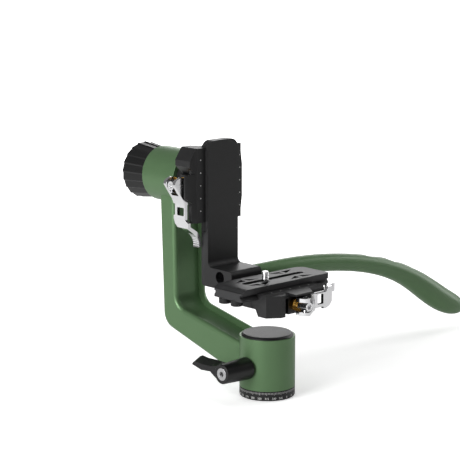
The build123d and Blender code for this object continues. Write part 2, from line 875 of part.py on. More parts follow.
        # Bay that the lever's arm folds into.
        with BuildSketch(frame.offset(-lever_bay_ledge)):
            Polygon(
                (lever_bay_floor, lever_bay_start),
                (guard_peak, lever_bay_start),
                (guard_peak, clamp_length / 2),
                (lever_bay_floor, clamp_length / 2),
                align=None,
            )
        extrude(amount=lever_bay_ledge - moving_jaw_depth, mode=Mode.SUBTRACT)
        with BuildSketch(rod_line.offset(slab_side + gap)):
            with Locations(rod_spot):
                Circle(rod_radius + gap)
        extrude(amount=guard_peak, mode=Mode.SUBTRACT)
        with BuildSketch(rod_line.offset(slab_side + gap)):
            with Locations((-guide_pin_spread, -guide_pin_depth), (guide_pin_spread, -guide_pin_depth)):
                Circle(guide_pin_radius + fit)
        extrude(amount=guide_pin_length - guide_pin_seat, mode=Mode.SUBTRACT)
    save(jaw, name + "_clamp_jaw")

    with BuildPart() as rod:
        with BuildSketch(rod_line.offset(-fixed_jaw_outer - fixed_jaw_bulge)):
            with Locations(rod_spot):
                Circle(rod_head_radius)
        extrude(amount=rod_head_height)
        with BuildSketch(rod_line.offset(-fixed_jaw_outer - fixed_jaw_bulge)):
            with Locations(rod_spot):
                Circle(rod_radius)
        extrude(amount=fixed_jaw_outer + fixed_jaw_bulge + rod_eye_start)
        with BuildSketch(rod_line.offset(rod_eye_start)):
            with Locations(rod_spot):
                Circle(rod_eye_radius)
        extrude(amount=rod_eye_end - rod_eye_start)
        with BuildSketch(rod_line.offset(rod_eye_end)):
            with Locations(rod_spot):
                RegularPolygon(rod_hex_radius, 6)
        extrude(amount=-rod_hex_depth, mode=Mode.SUBTRACT)
        with BuildSketch(frame.offset(-lever_low)):
            with Locations((pivot_reach, rod_offset)):
                Circle(pin_radius + seat_gap)
        extrude(amount=lever_low - lever_high, mode=Mode.SUBTRACT)
    save(rod, name + "_tension_rod")

    with BuildPart() as pin:
        with BuildSketch(frame.offset(-lever_low)):
            with Locations((pivot_reach, rod_offset)):
                Circle(pin_radius)
        extrude(amount=lever_low - lever_high)
    save(pin, name + "_pivot_pin")

    cam_x = pivot_reach + cam_throw * cos(radians(cam_direction))
    cam_y = rod_offset + cam_throw * sin(radians(cam_direction))
    nut_end = cam_x - cam_radius - gap

    with BuildPart() as nut:
        with BuildSketch(rod_line.offset(washer_wall + seat_gap)):
            with Locations(rod_spot):
                Circle(nut_radius)
                Circle(rod_radius + gap, mode=Mode.SUBTRACT)
        extrude(amount=nut_end - washer_wall - seat_gap)
    save(nut, name + "_cam_washer")

    plate_out = pivot_reach - arm_plate_outer
    plate_in = pivot_reach - arm_plate_inner
    tail_inside = pivot_reach - tail_reach

    with BuildPart() as lever:
        # Hub: the cam that bears on the washer, a lobe outside it and the neck.
        with BuildSketch(frame.offset(-lever_low)):
            with Locations((cam_x, cam_y)):
                Circle(cam_radius)
            with Locations((pivot_reach + lobe_reach, rod_offset + lobe_side)):
                Circle(lobe_radius)
            Polygon(
                (cam_x - cam_radius * sin(radians(neck_turn)), cam_y + cam_radius * cos(radians(neck_turn))),
                (cam_x, cam_y),
                (pivot_reach + lobe_flat, cam_y),
                (plate_out + neck_reach, arm_plate_start),
                (plate_out, arm_plate_step),
                (plate_in, arm_plate_step),
                (plate_in, arm_plate_start),
                align=None,
            )
            Polygon(
                (pivot_reach + lobe_flat, rod_offset + lobe_side),
                (pivot_reach + 2 * lobe_flat, rod_offset + lobe_side),
                (pivot_reach + 2 * lobe_flat, arm_plate_start),
                (plate_out + neck_reach, arm_plate_start),
                align=None,
                mode=Mode.SUBTRACT,
            )
        extrude(amount=lever_low - lever_high)
        # Flat arm with its horn and its window.
        with BuildSketch(along.offset(plate_in)):
            Polygon(
                (arm_plate_start, -lever_high),
                (arm_plate_step - 1, -lever_high),
                (arm_plate_step, -arm_plate_rise),
                (horn_start, -arm_plate_rise),
                (horn_start + horn_run, -horn_rise),
                (arm_plate_end, -horn_rise),
                (arm_plate_end, -plate_end_drop),
                (arm_plate_end - 3, -arm_plate_drop),
                (horn_start, -wing_drop),
                (wing_start, -wing_drop),
                (wing_start - 0.6, -arm_plate_drop),
                (arm_plate_step, -arm_plate_drop),
                (arm_plate_start, -lever_low),
                align=None,
            )
        extrude(amount=plate_out - plate_in)
        with BuildSketch(frame.offset(-rod_depth - lever_slot / 2)):
            with Locations((pivot_reach, rod_offset)):
                Circle(lever_slot_radius)
        extrude(amount=lever_slot, mode=Mode.SUBTRACT)
        with BuildSketch(frame.offset(-lever_low)):
            with Locations((pivot_reach, rod_offset)):
                Circle(pin_radius + fit)
        extrude(amount=lever_low - lever_high, mode=Mode.SUBTRACT)
        with BuildSketch(along.offset(plate_in)):
            with Locations((lever_window_v, -lever_window_w)):
                RectangleRounded(lever_window_length, lever_window_width, 1.0)
        extrude(amount=plate_out - plate_in, mode=Mode.SUBTRACT)
        # Thumb tail, curved in behind the clamp and ribbed across.
        with BuildSketch(frame.offset(-tail_low)):
            with BuildLine():
                back = Spline(
                    (plate_out, arm_plate_end - 1),
                    (plate_out - 6.5, arm_plate_end + 4),
                    (plate_out - 12.5, arm_plate_end + 9),
                    (tail_inside + tail_thickness + 0.6, tail_end - 7),
                    (tail_inside + tail_thickness, tail_end),
                )
                front = Spline(
                    (plate_in, arm_plate_end - 3),
                    (plate_in - 5.8, arm_plate_end + 1.5),
                    (plate_in - 12.8, arm_plate_end + 6.8),
                    (tail_inside + 0.2, tail_end - 8),
                    (tail_inside, tail_end),
                )
                Line(back @ 0, front @ 0)
                Line(back @ 1, front @ 1)
            make_face()
        extrude(amount=tail_low - tail_high)
        with BuildSketch(frame.offset(-tail_low)):
            for rib in range(lever_rib_count):
                with Locations(back @ (0.96 - 0.07 * rib)):
                    Circle(lever_rib_radius)
        extrude(amount=tail_low - tail_high, mode=Mode.SUBTRACT)
    save(lever, name + "_lever")

    with BuildPart() as pins:
        with BuildSketch(rod_line.offset(slab_side - guide_pin_seat)):
            with Locations((-guide_pin_spread, -guide_pin_depth), (guide_pin_spread, -guide_pin_depth)):
                Circle(guide_pin_radius)
        extrude(amount=guide_pin_length - gap)
    save(pins, name + "_guide_pins")

    spring_start = across.location * Location((slab_side - spring_turns * spring_pitch, -rod_depth, -rod_offset))
    with BuildPart() as spring:
        with BuildLine():
            coil = Helix(
                pitch=spring_pitch,
                height=spring_turns * spring_pitch - spring_wire / 2,
                radius=spring_radius,
                center=spring_start.position,
                direction=frame.x_dir,
            )
        with BuildSketch(Plane(origin=coil @ 0, z_dir=coil % 0)):
            Circle(spring_wire / 2)
        sweep()
    save(spring, name + "_jaw_spring")


lever_clamp(upright_frame, "upright")
lever_clamp(platform_frame, "platform")

# ================================================================ clamp screws
screw_floor = upright_face - jaw_height - flange_screw_head_height

with BuildPart() as flange_screws:
    with BuildSketch(tilt_axis.offset(screw_floor)):
        with GridLocations(2 * flange_screw_u, 2 * flange_screw_v, 2, 2):
            Circle(flange_screw_head_radius)
            RegularPolygon(flange_screw_radius, 6, mode=Mode.SUBTRACT)
    extrude(amount=flange_screw_head_height - gap)
    with BuildSketch(tilt_axis.offset(screw_floor)):
        with GridLocations(2 * flange_screw_u, 2 * flange_screw_v, 2, 2):
            Circle(flange_screw_radius)
    extrude(amount=-flange_screw_length)
save(flange_screws, "flange_screws")

foot_block_back = foot_nose - foot_block_thickness
foot_screw_plane = Plane(origin=(foot_block_back, platform_centre, foot_screw_height), x_dir=(0, 1, 0), z_dir=(1, 0, 0))

with BuildPart() as foot_screws:
    with BuildSketch(foot_screw_plane):
        with Locations((-foot_screw_spread, 0), (foot_screw_spread, 0)):
            Circle(foot_screw_head_radius)
            RegularPolygon(foot_screw_radius * 0.8, 6, mode=Mode.SUBTRACT)
    extrude(amount=-foot_screw_head_height)
    with BuildSketch(foot_screw_plane):
        with Locations((-foot_screw_spread, 0), (foot_screw_spread, 0)):
            Circle(foot_screw_radius)
    extrude(amount=foot_screw_length)
save(foot_screws, "foot_screws")

# ================================================================ L-bracket
with BuildPart() as l_bracket:
    with BuildSketch(Plane.XZ):
        Polygon(
            (bracket_back, foot_heel),
            (foot_block_back, foot_heel),
            (foot_block_back, foot_block_bottom),
            (foot_nose, foot_block_bottom),
            (foot_nose, foot_top),
            (bracket_front, foot_top),
            (bracket_front, bracket_top),
            (bracket_back, bracket_top),
            align=None,
        )
    extrude(amount=dovetail_half, both=True)
    along_y = l_bracket.edges().filter_by(Axis.Y)
    fillet(along_y.sort_by_distance((bracket_front, 0, foot_top))[0], foot_inner_radius)
    along_y = l_bracket.edges().filter_by(Axis.Y)
    fillet(along_y.sort_by_distance((foot_nose, 0, foot_top))[0], foot_nose_radius)
    along_y = l_bracket.edges().filter_by(Axis.Y)
    fillet(along_y.sort_by_distance((bracket_back, 0, foot_heel))[0], foot_heel_radius)
    fillet(l_bracket.edges().filter_by(Axis.X).group_by(Axis.Z)[-1], bracket_corner)
    # Dovetail grooves down both edges of the upright.
    with BuildSketch(Plane.XY.offset(bracket_groove_end)):
        for side in (-1, 1):
            Polygon(
                (bracket_back + dovetail_lip, side * dovetail_half * 1.1),
                (bracket_back + dovetail_lip, side * dovetail_half),
                (bracket_back + dovetail_lip + dovetail_flank, side * (dovetail_half - dovetail_flank)),
                (
                    bracket_back + dovetail_lip + dovetail_flank + dovetail_neck,
                    side * (dovetail_half - dovetail_flank),
                ),
                (bracket_back + dovetail_lip + dovetail_flank + dovetail_neck, side * dovetail_half * 1.1),
                align=None,
            )
    extrude(amount=bracket_top - bracket_groove_end, mode=Mode.SUBTRACT)
    # Handle sockets in both sides of the foot, and their set screws.
    for side in (-1, 1):
        with BuildSketch(Plane(origin=(socket_x, side * dovetail_half, socket_height), z_dir=(0, side, 0))):
            Circle(socket_radius + fit)
        extrude(amount=-socket_depth, mode=Mode.SUBTRACT)
        with BuildSketch(
            Plane(
                origin=(bracket_back, side * (dovetail_half - set_screw_inset), socket_height),
                z_dir=(1, 0, 0),
            )
        ):
            Circle(set_screw_radius + fit)
        extrude(amount=socket_x - bracket_back, mode=Mode.SUBTRACT)
    with BuildSketch(foot_screw_plane):
        with Locations((-foot_screw_spread, 0), (foot_screw_spread, 0)):
            Circle(foot_screw_radius + fit)
    extrude(amount=foot_block_thickness, mode=Mode.SUBTRACT)
save(l_bracket, "l_bracket")

with BuildPart() as socket_set_screws:
    for side in (-1, 1):
        with BuildSketch(
            Plane(
                origin=(socket_x - socket_radius - fit, side * (dovetail_half - set_screw_inset), socket_height),
                z_dir=(-1, 0, 0),
            )
        ):
            Circle(set_screw_radius)
        extrude(amount=set_screw_length)
        with BuildSketch(
            Plane(
                origin=(
                    socket_x - socket_radius - fit - set_screw_length,
                    side * (dovetail_half - set_screw_inset),
                    socket_height,
                ),
                z_dir=(1, 0, 0),
            )
        ):
            RegularPolygon(set_screw_radius * 0.6, 6)
        extrude(amount=set_screw_radius, mode=Mode.SUBTRACT)
save(socket_set_screws, "socket_set_screws")

# ================================================================ handle
def grip_top(reach):
    """Height of the grip's top edge at a reach, and how far it leans from level."""
    for near, far in zip(handle_stations, handle_stations[1:]):
        if reach <= far[0]:
            break
    share = (reach - near[0]) / (far[0] - near[0])
    lean = atan2(far[1] - near[1], far[0] - near[0])
    middle = socket_height - near[1] - share * (far[1] - near[1])
    half_height = near[2] + share * (far[2] - near[2])
    return middle + half_height / cos(lean), lean


handle_widest = max(station[3] for station in handle_stations)

with BuildPart() as handle:
    last = len(handle_stations) - 1
    for index, (reach, drop, half_height, half_width) in enumerate(handle_stations):
        before = handle_stations[max(index - 1, 0)]
        after = handle_stations[min(index + 1, last)]
        slope = (0, after[0] - before[0], before[1] - after[1])
        if index == 0:
            slope = (0, 1, 0)
        centre = (socket_x, reach, socket_height - drop)
        with BuildSketch(Plane(origin=centre, x_dir=(1, 0, 0), z_dir=slope)):
            Ellipse(half_width, half_height)
    loft()
    fillet(handle.edges().sort_by(Axis.Y)[-1], handle_tip_radius)
    # Finger scallops along the top of the grip.
    for index in range(scallop_count):
        reach = scallop_first + index * scallop_pitch
        crest, lean = grip_top(reach)
        centre = (
            reach + (scallop_radius - scallop_depth) * sin(lean),
            crest + (scallop_radius - scallop_depth) * cos(lean),
        )
        with BuildSketch(Plane.YZ.offset(socket_x)):
            with Locations(centre):
                Circle(scallop_radius)
        extrude(amount=handle_widest, both=True, mode=Mode.SUBTRACT)
    with BuildSketch(Plane(origin=(socket_x, handle_stations[0][0], socket_height), z_dir=(0, -1, 0))):
        Circle(socket_radius)
    extrude(amount=handle_stations[0][0] - dovetail_half + socket_depth - gap)
save(handle, "handle")

# ================================================================ camera plate
plate_section = Plane.XZ.offset(-plate_near)

with BuildPart() as camera_plate:
    with BuildSketch(plate_section):
        neck_foot = plate_bottom + dovetail_lip + dovetail_flank
        Polygon(
            (dovetail_half, plate_bottom),
            (dovetail_half, plate_bottom + dovetail_lip),
            (dovetail_half - dovetail_flank, neck_foot),
            (dovetail_half - dovetail_flank, neck_foot + dovetail_neck),
            (dovetail_half, neck_foot + dovetail_neck),
            (dovetail_half, plate_top),
            (-dovetail_half, plate_top),
            (-dovetail_half, neck_foot + dovetail_neck),
            (dovetail_flank - dovetail_half, neck_foot + dovetail_neck),
            (dovetail_flank - dovetail_half, neck_foot),
            (-dovetail_half, plate_bottom + dovetail_lip),
            (-dovetail_half, plate_bottom),
            align=None,
        )
    extrude(amount=-plate_length)
    with BuildSketch(Plane.XY.offset(plate_bottom)) as plan:
        with Locations((0, plate_middle)):
            Rectangle(2 * dovetail_half, plate_length)
        fillet(plan.vertices().group_by(Axis.Y)[-1].sort_by(Axis.X)[0], plate_far_corner)
        fillet(plan.vertices().group_by(Axis.Y)[-1].sort_by(Axis.X)[-1], plate_corner)
        fillet(plan.vertices().group_by(Axis.Y)[0], plate_corner)
    extrude(amount=plate_thickness, mode=Mode.INTERSECT)
    # The near end slopes down to a nose.
    with BuildSketch(Plane.YZ.offset(-dovetail_half)):
        Polygon(
            (plate_near, plate_top - plate_nose_drop),
            (plate_near + plate_nose_length, plate_top),
            (plate_near + plate_nose_length, plate_top + 1),
            (plate_near - 1, plate_top + 1),
            (plate_near - 1, plate_top - plate_nose_drop),
            align=None,
        )
    extrude(amount=2 * dovetail_half, mode=Mode.SUBTRACT)
    # Camera screw slot with its head recess below.
    with BuildSketch(Plane.XY.offset(plate_bottom)):
        with Locations((0, (slot_near + slot_far) / 2)):
            SlotOverall(slot_far - slot_near, slot_width, rotation=90)
    extrude(amount=plate_thickness, mode=Mode.SUBTRACT)
    with BuildSketch(Plane.XY.offset(plate_bottom)):
        with Locations((0, (slot_near + slot_far) / 2)):
            SlotOverall(slot_far - slot_near + slot_head_width - slot_width, slot_head_width, rotation=90)
    extrude(amount=slot_head_depth, mode=Mode.SUBTRACT)
    # Truss windows: pairs of right triangles on each side of the slot.
    near_pair = plate_middle - window_pair_spread
    far_pair = plate_middle + window_pair_spread
    with BuildSketch(Plane.XY.offset(plate_bottom)):
        for side in (-1, 1):
            for end in (-1, 1):
                Polygon(
                    (side * window_inner, near_pair + end * window_pair_half),
                    (side * window_inner, near_pair + end * window_bar),
                    (side * window_outer, near_pair + end * window_bar),
                    align=None,
                )
                Polygon(
                    (side * window_outer, far_pair + end * window_pair_half),
                    (side * window_outer, far_pair + end * window_bar),
                    (side * window_inner, far_pair + end * window_bar),
                    align=None,
                )
    extrude(amount=plate_thickness, mode=Mode.SUBTRACT)
    with BuildSketch(Plane.XY.offset(plate_bottom)):
        with Locations((0, plate_middle)):
            with GridLocations(2 * stop_spread, plate_length - 2 * stop_inset, 2, 2):
                Circle(stop_shank_radius + fit)
    extrude(amount=stop_shank_length + gap, mode=Mode.SUBTRACT)
save(camera_plate, "camera_plate")

with BuildPart() as plate_stop_screws:
    with BuildSketch(Plane.XY.offset(plate_bottom - seat_gap)):
        with Locations((0, plate_middle)):
            with GridLocations(2 * stop_spread, plate_length - 2 * stop_inset, 2, 2):
                Circle(stop_radius)
    extrude(amount=-stop_height)
    fillet(plate_stop_screws.edges().group_by(Axis.Z)[0], 0.8)
    with BuildSketch(Plane.XY.offset(plate_bottom - seat_gap)):
        with Locations((0, plate_middle)):
            with GridLocations(2 * stop_spread, plate_length - 2 * stop_inset, 2, 2):
                Circle(stop_shank_radius)
    extrude(amount=stop_shank_length)
    with BuildSketch(Plane.XY.offset(plate_bottom - seat_gap - stop_height)):
        with Locations((0, plate_middle)):
            with GridLocations(2 * stop_spread, plate_length - 2 * stop_inset, 2, 2):
                RegularPolygon(stop_shank_radius, 6)
    extrude(amount=stop_height / 2, mode=Mode.SUBTRACT)
save(plate_stop_screws, "plate_stop_screws")

slider_top = plate_bottom + slot_head_depth - gap

with BuildPart() as screw_slider:
    with BuildSketch(Plane.XY.offset(slider_top)):
        with Locations((0, camera_screw_y)):
            SlotOverall(slider_length, slot_head_width - 2 * gap, rotation=90)
            Circle(camera_screw_neck_radius + fit, mode=Mode.SUBTRACT)
    extrude(amount=-slider_thickness)
save(screw_slider, "screw_slider")

with BuildPart() as camera_screw:
    with BuildSketch(Plane.XY.offset(slider_top - slider_thickness - gap)):
        with Locations((0, camera_screw_y)):
            Circle(camera_screw_head_radius)
    extrude(amount=-camera_screw_head_height)
    with BuildSketch(Plane.XY.offset(slider_top - slider_thickness - gap)):
        with Locations((0, camera_screw_y)):
            Circle(camera_screw_neck_radius)
    extrude(amount=plate_top + camera_screw_rise - slider_top + slider_thickness + gap)
    with BuildSketch(Plane.XY.offset(plate_top + gap)):
        with Locations((0, camera_screw_y)):
            Circle(camera_screw_radius)
    extrude(amount=camera_screw_rise - gap)
    chamfer(camera_screw.edges().group_by(Axis.Z)[-1], 0.6)
    with BuildSketch(Plane.XY.offset(slider_top - slider_thickness - gap - camera_screw_head_height)):
        with Locations((0, camera_screw_y)):
            Rectangle(2 * camera_screw_head_radius, 1.2)
    extrude(amount=camera_screw_head_height / 2, mode=Mode.SUBTRACT)
save(camera_screw, "camera_screw")
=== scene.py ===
import json
from math import cos, pi, radians, sin

import bmesh
import bpy
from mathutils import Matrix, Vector


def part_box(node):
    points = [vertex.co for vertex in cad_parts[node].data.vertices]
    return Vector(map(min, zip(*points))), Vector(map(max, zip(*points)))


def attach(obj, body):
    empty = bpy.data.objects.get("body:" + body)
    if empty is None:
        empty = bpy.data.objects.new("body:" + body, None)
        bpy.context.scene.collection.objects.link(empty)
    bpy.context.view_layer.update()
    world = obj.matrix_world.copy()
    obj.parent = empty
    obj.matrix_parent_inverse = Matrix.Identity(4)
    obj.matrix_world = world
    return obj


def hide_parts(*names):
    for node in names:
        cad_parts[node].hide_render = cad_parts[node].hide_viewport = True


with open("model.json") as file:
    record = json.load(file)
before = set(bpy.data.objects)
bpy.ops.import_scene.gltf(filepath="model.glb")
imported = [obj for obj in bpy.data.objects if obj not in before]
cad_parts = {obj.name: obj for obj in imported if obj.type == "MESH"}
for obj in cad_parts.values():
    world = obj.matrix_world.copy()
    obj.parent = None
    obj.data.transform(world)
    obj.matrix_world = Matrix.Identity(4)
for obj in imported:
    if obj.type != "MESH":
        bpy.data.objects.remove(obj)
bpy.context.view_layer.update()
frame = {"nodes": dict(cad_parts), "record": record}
nodes = frame["nodes"]
MM = 0.001


# ------------------------------------------------------------------ materials
def shader(name):
    """A new node material, with its tree and its surface shader."""
    material = bpy.data.materials.new(name)
    material.use_nodes = True
    tree = material.node_tree
    return material, tree, tree.nodes["Principled BSDF"]


def add_node(tree, kind, values=None, sources=None, **settings):
    """A new shader node with its settings, its inputs' values and what feeds its inputs."""
    node = tree.nodes.new("ShaderNode" + kind)
    for setting, value in settings.items():
        setattr(node, setting, value)
    for socket, value in (values or {}).items():
        node.inputs[socket].default_value = value
    for socket, source in (sources or {}).items():
        tree.links.new(source, node.inputs[socket])
    return node


def finish(name, dark, light, rough, metallic, mottle, grain, depth, shine=0.5, worn=None, brushed=None):
    """A surface whose colour and gloss wander a little, over a fine grain.

    mottle and grain are the scales of the two noises, and depth is the
    strength of the grain. worn is the colour that shows along broken edges;
    brushed squeezes the grain along one axis, as a turning or drawing tool
    leaves it.
    """
    material, tree, surface = shader(name)
    place = add_node(tree, "TexCoord").outputs["Object"]
    cloud = add_node(tree, "TexNoise", {"Scale": mottle, "Detail": 4.0}, {"Vector": place}).outputs["Fac"]
    colour = add_node(tree, "Mix", {6: (*dark, 1), 7: (*light, 1)}, {0: cloud}, data_type="RGBA").outputs[2]
    if worn:
        edge = add_node(tree, "NewGeometry").outputs["Pointiness"]
        rub = add_node(tree, "MapRange", {"From Min": 0.53, "From Max": 0.62, "To Max": 0.55},
                       {"Value": edge}).outputs["Result"]
        colour = add_node(tree, "Mix", {7: (*worn, 1)}, {0: rub, 6: colour}, data_type="RGBA").outputs[2]
    gloss = add_node(tree, "MapRange", {"To Min": rough[0], "To Max": rough[1]}, {"Value": cloud})
    if brushed:
        place = add_node(tree, "Mapping", {"Scale": brushed}, {"Vector": place}).outputs["Vector"]
    speck = add_node(tree, "TexNoise", {"Scale": grain, "Detail": 2.0}, {"Vector": place}).outputs["Fac"]
    bump = add_node(tree, "Bump", {"Strength": depth, "Distance": 0.1 * MM}, {"Height": speck})
    tree.links.new(colour, surface.inputs["Base Color"])
    tree.links.new(gloss.outputs["Result"], surface.inputs["Roughness"])
    tree.links.new(bump.outputs["Normal"], surface.inputs["Normal"])
    surface.inputs["Metallic"].default_value = metallic
    surface.inputs["Specular IOR Level"].default_value = shine
    return material


looks = {
    "green_anodised": finish("green_anodised", (0.098, 0.18, 0.084), (0.112, 0.202, 0.096),
                             (0.34, 0.42), 0.5, 40, 2200, 0.22),
    "green_grip": finish("green_grip", (0.076, 0.158, 0.06), (0.088, 0.178, 0.07),
                         (0.36, 0.44), 0.1, 40, 1500, 0.3),
    "black_anodised": finish("black_anodised", (0.0065, 0.0065, 0.0068), (0.0095, 0.0095, 0.0099),
                             (0.36, 0.44), 0.0, 60, 2500, 0.2, 0.42, worn=(0.03, 0.03, 0.031)),
    "plate_black": finish("plate_black", (0.012, 0.012, 0.0124), (0.017, 0.017, 0.0175),
                          (0.4, 0.48), 0.35, 60, 2500, 0.2, worn=(0.05, 0.05, 0.052)),
    "knob_black": finish("knob_black", (0.004, 0.004, 0.0042), (0.006, 0.006, 0.0063),
                         (0.26, 0.36), 0.0, 50, 1800, 0.22, 0.4),
    "lock_black": finish("lock_black", (0.004, 0.004, 0.0042), (0.006, 0.006, 0.0063),
                         (0.28, 0.38), 0.0, 50, 1800, 0.25, 0.4),
    "cap_grey": finish("cap_grey", (0.022, 0.022, 0.023), (0.03, 0.03, 0.031),
                       (0.4, 0.48), 0.3, 60, 2500, 0.2, brushed=(1.0, 30.0, 30.0)),
    "black_steel": finish("black_steel", (0.008, 0.008, 0.0084), (0.013, 0.013, 0.0135),
                          (0.25, 0.35), 0.4, 90, 2500, 0.15, worn=(0.06, 0.06, 0.062)),
    "bright_steel": finish("bright_steel", (0.5, 0.5, 0.51), (0.6, 0.6, 0.61),
                           (0.2, 0.3), 1.0, 90, 2500, 0.15),
    "chrome": finish("chrome", (0.78, 0.78, 0.79), (0.9, 0.9, 0.91),
                     (0.1, 0.17), 1.0, 90, 1200, 0.3),
    "bronze": finish("bronze", (0.62, 0.33, 0.06), (0.75, 0.43, 0.1),
                     (0.2, 0.3), 1.0, 90, 2500, 0.15),
}
mark_white = finish("mark_white", (0.55, 0.55, 0.54), (0.68, 0.68, 0.67), (0.5, 0.6), 0.0, 90, 2500, 0.1)

slot_of = {part["node"]: part["material_slot"] for part in frame["record"]["subparts"]}
body_of = {node: body for body, members in frame["record"]["behaviour"]["bodies"].items()
           for node in members}
own_look = {"camera_plate": "plate_black"}


def dress(piece, look):
    piece.data.materials.clear()
    piece.data.materials.append(look)


for name, node in nodes.items():
    dress(node, looks[slot_of[name]])


def piece_from(name, vertices, faces, look, body):
    """A new piece in row coordinates that rides on a body."""
    mesh = bpy.data.meshes.new(name)
    mesh.from_pydata(vertices, [], faces)
    mesh.update()
    piece = bpy.data.objects.new(name, mesh)
    bpy.context.scene.collection.objects.link(piece)
    dress(piece, look)
    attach(piece, body)
    return piece


# ------------------------------------------------------------------ eased edges
pan_axis = (Vector((0, 0, 0)), Vector((0, 0, 1)))
shaft_low, shaft_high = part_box("tilt_shaft")
tilt_axis = ((shaft_low + shaft_high) / 2, Vector((1, 0, 0)))
turned = {
    "arm": (pan_axis, tilt_axis), "pan_dial": (pan_axis,), "top_cap": (pan_axis,),
    "tilt_flange": (tilt_axis,), "handle": (), "cap_disc": (),
}
facing = 0.985              # cosine to the true radius from which a face counts as turned
roundness = 0.03 * MM       # a turned face's corners differ by no more in radius
weld = 0.001 * MM
flat_angle = radians(0.04)
sharp_angle = radians(28)


def round_off(piece, axes):
    """Applies the piece's modifiers, then gives its turned faces the normals of true cylinders."""
    graph = bpy.context.evaluated_depsgraph_get()
    graph.update()
    mesh = bpy.data.meshes.new_from_object(piece.evaluated_get(graph), preserve_all_data_layers=True,
                                           depsgraph=graph)
    piece.modifiers.clear()
    piece.data = mesh
    normals = [Vector(corner.vector) for corner in mesh.corner_normals]
    for face in mesh.polygons:
        for origin, axis in axes:
            middle = face.center - origin
            outward = middle - axis * middle.dot(axis)
            if outward.length == 0 or abs(face.normal.dot(outward.normalized())) < facing:
                continue
            corners = [mesh.vertices[index].co - origin for index in face.vertices]
            arms = [corner - axis * corner.dot(axis) for corner in corners]
            lengths = [arm.length for arm in arms]
            if max(lengths) - min(lengths) > roundness:
                continue
            sense = 1 if face.normal.dot(outward) > 0 else -1
            for loop, arm in zip(face.loop_indices, arms):
                normals[loop] = sense * arm.normalized()
    mesh.normals_split_custom_set(normals)


def eased(name, width):
    """The node's own shape with its sharp edges broken, in the node's place."""
    shape = bmesh.new()
    shape.from_mesh(nodes[name].data)
    bmesh.ops.remove_doubles(shape, verts=shape.verts, dist=weld)
    bmesh.ops.dissolve_limit(shape, angle_limit=flat_angle, verts=shape.verts, edges=shape.edges)
    mesh = bpy.data.meshes.new(name + "_eased")
    shape.to_mesh(mesh)
    shape.free()
    piece = bpy.data.objects.new(name + "_eased", mesh)
    bpy.context.scene.collection.objects.link(piece)
    for face in mesh.polygons:
        face.use_smooth = True
    dress(piece, looks[own_look.get(name, slot_of[name])])
    bevel = piece.modifiers.new("edges", "BEVEL")
    bevel.width = width
    bevel.segments = 2
    bevel.limit_method = "ANGLE"
    bevel.angle_limit = sharp_angle
    bevel.harden_normals = False
    even = piece.modifiers.new("normals", "WEIGHTED_NORMAL")
    even.mode = "FACE_AREA"
    even.weight = 70 if name in turned else 100
    even.keep_sharp = False
    if name in turned:
        round_off(piece, turned[name])
    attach(piece, body_of[name])
    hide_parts(name)


for name, width in (
    ("l_bracket", 0.6), ("camera_plate", 0.35), ("upright_clamp_body", 0.4),
    ("upright_clamp_jaw", 0.4), ("platform_clamp_body", 0.4), ("platform_clamp_jaw", 0.4),
    ("upright_lever", 0.4), ("platform_lever", 0.4), ("tilt_knob", 0.25),
    ("pan_lock_handle", 0.5), ("pan_dial", 0.3), ("arm", 0.6), ("handle", 0.4),
    ("top_cap", 0.3), ("cap_disc", 0.12), ("tilt_flange", 0.3), ("plate_stop_screws", 0.2),
    ("knob_screw", 0.2), ("pan_lock_screw", 0.2), ("foot_screws", 0.15),
    ("upright_pivot_pin", 0.2), ("platform_pivot_pin", 0.2),
    ("upright_cam_washer", 0.15), ("platform_cam_washer", 0.15),
    ("upright_tension_rod", 0.2), ("platform_tension_rod", 0.2),
):
    eased(name, width * MM)


# ------------------------------------------------------------------ dial marks
paint_lift = 0.03 * MM      # painted marks stand this far off their face
dial_low, dial_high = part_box("pan_dial")
mark_radius = dial_high.x + paint_lift
tick_count = 120
tick_half_width = 0.14 * MM
tick_top = dial_high.z - 0.5 * MM
degree_step = 15
numeral_size = 2.6 * MM
numeral_swell = 0.03 * MM
numeral_foot = dial_low.z + 1.55 * MM


def on_dial(angle, height):
    return (mark_radius * cos(angle), mark_radius * sin(angle), height)


vertices, faces = [], []
for tick in range(tick_count):
    middle = 2 * pi * tick / tick_count
    half = tick_half_width / mark_radius
    foot = dial_high.z - (3.0 if tick % 5 == 0 else 2.3) * MM
    first = len(vertices)
    for angle, height in ((middle - half, foot), (middle + half, foot),
                          (middle + half, tick_top), (middle - half, tick_top)):
        vertices.append(on_dial(angle, height))
    faces.append((first, first + 1, first + 2, first + 3))
for number in range(0, 360, degree_step):
    text = bpy.data.curves.new("numeral", "FONT")
    text.body = str(number)
    text.size = numeral_size
    text.align_x = "CENTER"
    text.offset = numeral_swell
    letter = bpy.data.objects.new("numeral", text)
    flat = bpy.data.meshes.new_from_object(letter)
    first = len(vertices)
    for vertex in flat.vertices:
        vertices.append(on_dial(radians(number) + vertex.co.x / mark_radius, numeral_foot + vertex.co.y))
    faces.extend(tuple(first + index for index in face.vertices) for face in flat.polygons)
    bpy.data.objects.remove(letter)
    bpy.data.curves.remove(text)
    bpy.data.meshes.remove(flat)
piece_from("dial_marks", vertices, faces, mark_white, "base")


# ------------------------------------------------------------------ dots
dot_sides = 16


def dots(name, places, normal, body, radius=0.62 * MM, look=mark_white):
    """Small dots, each a disc just proud of the face."""
    normal = Vector(normal)
    side = normal.orthogonal().normalized()
    up = normal.cross(side)
    vertices, faces = [], []
    for place in places:
        centre = Vector(place) + normal * paint_lift
        first = len(vertices)
        for step in range(dot_sides):
            angle = 2 * pi * step / dot_sides
            vertices.append(tuple(centre + radius * (side * cos(angle) + up * sin(angle))))
        faces.append(tuple(range(first, first + dot_sides)))
    piece_from(name, vertices, faces, look, body)


